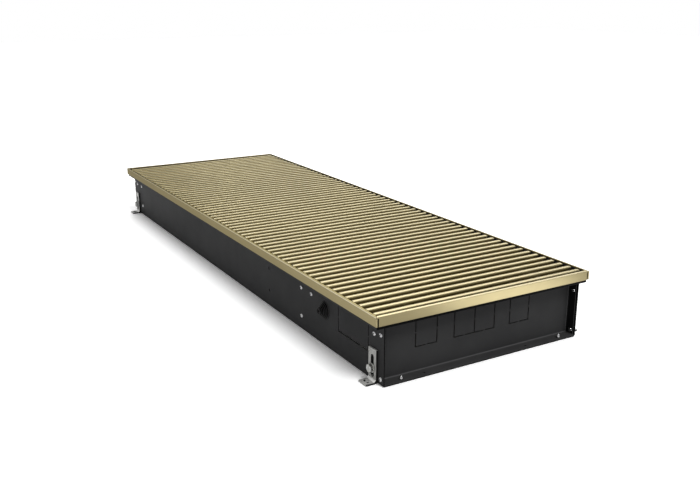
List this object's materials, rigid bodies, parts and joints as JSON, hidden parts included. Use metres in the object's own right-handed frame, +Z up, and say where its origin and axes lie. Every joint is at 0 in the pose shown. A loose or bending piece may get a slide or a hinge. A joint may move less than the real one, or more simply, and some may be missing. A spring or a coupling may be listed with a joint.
{
  "type": "trench convector heater",
  "caption": "Low floor trench heater: black sheet-steel trough, champagne slat grille and edge frame, finned tube exchanger, cross-flow fan and levelling feet.",
  "frame": {"origin": "middle of the underside of the casing and feet", "axes": "+X across the trough, away from the fan's side; +Y along the trough, away from the connection end; +Z up"},
  "size_m": [0.2772, 0.806, 0.075],
  "materials": {
    "black_paint": "fine-textured matt powder coat",
    "champagne": "champagne anodised, satin",
    "rivet_steel": "bright drawn steel",
    "zinc_bright": "bright zinc plated",
    "zinc_plate": "zinc plated strip, light brushing",
    "rubber": "matt black rubber",
    "copper": "drawn copper, slightly tarnished",
    "fin_aluminium": "thin rolled aluminium sheet",
    "brass": "turned brass",
    "galvanised": "galvanised sheet with a soft spangle",
    "impeller_plastic": "moulded dark plastic",
    "shaft_steel": "ground steel",
    "pale_plastic": "moulded light grey plastic",
    "dark_plastic": "moulded dark plastic",
    "lead_sheath": "smooth cable sheath"
  },
  "bodies": {
    "casing": {"trough": "black_paint", "end_wall_front": "black_paint", "end_wall_back": "black_paint", "wall_rivets": "rivet_steel", "strip_rivets": "rivet_steel", "frame_rail_left": "champagne", "frame_rail_right": "champagne", "frame_rail_front": "champagne", "frame_rail_back": "champagne", "seat_strips": "rubber", "cable_grommet": "rubber", "cross_brace": "black_paint", "partition_front": "black_paint", "partition_back": "black_paint", "foot_clamp_bolts": "zinc_bright", "foot_washers": "zinc_bright", "foot_inserts": "zinc_bright", "heating_tubes": "copper", "fin_pack": "fin_aluminium", "return_bends": "copper", "supply_fitting": "brass", "return_fitting": "brass", "tube_collars": "brass", "air_vent_body": "brass", "fan_housing": "galvanised", "fan_end_plate": "galvanised", "end_bearing": "brass", "bearing_ring": "rubber", "motor_housing": "galvanised", "motor_end_cap": "galvanised", "motor_stator": "copper", "motor_bearings": "brass", "motor_mount_rings": "rubber", "terminal_box": "pale_plastic", "terminal_box_lid": "pale_plastic", "lid_screws": "zinc_bright", "terminal_block": "dark_plastic", "terminal_screws": "brass", "motor_lead": "lead_sheath", "lead_bushes": "rubber"},
    "impeller": {"impeller_wheel": "impeller_plastic", "stub_shaft": "shaft_steel", "motor_rotor": "shaft_steel", "motor_shaft": "shaft_steel"},
    "bleed_plug": {"bleed_screw": "brass"},
    "grille": {"grille_slats": "champagne", "grille_tie_wires": "shaft_steel", "grille_spacers": "dark_plastic", "grille_ferrules": "shaft_steel"},
    "foot_fl": {"foot_front_left": "zinc_plate"},
    "foot_fr": {"foot_front_right": "zinc_plate"},
    "foot_bl": {"foot_back_left": "zinc_plate"},
    "foot_br": {"foot_back_right": "zinc_plate"}
  },
  "joints": [
    {"name": "grille_lift", "type": "slide", "parent": "casing", "child": "grille", "axis": [0, 0, 1], "range_m": [0, 0.12]},
    {"name": "impeller_spin", "type": "hinge", "parent": "casing", "child": "impeller", "pos_m": [-0.072, 0, 0.03], "axis": [0, 1, 0], "continuous": true},
    {"name": "bleed_screw_turn", "type": "hinge", "parent": "casing", "child": "bleed_plug", "pos_m": [-0.0138, -0.298, 0.043], "axis": [-1, 0, 0], "range_deg": [0, 360]},
    {"name": "foot_front_left_slide", "type": "slide", "parent": "casing", "child": "foot_fl", "axis": [0, 0, 1], "range_m": [-0.011, 0.007]},
    {"name": "foot_front_right_slide", "type": "slide", "parent": "casing", "child": "foot_fr", "axis": [0, 0, 1], "range_m": [-0.011, 0.007]},
    {"name": "foot_back_left_slide", "type": "slide", "parent": "casing", "child": "foot_bl", "axis": [0, 0, 1], "range_m": [-0.011, 0.007]},
    {"name": "foot_back_right_slide", "type": "slide", "parent": "casing", "child": "foot_br", "axis": [0, 0, 1], "range_m": [-0.011, 0.007]}
  ]
}
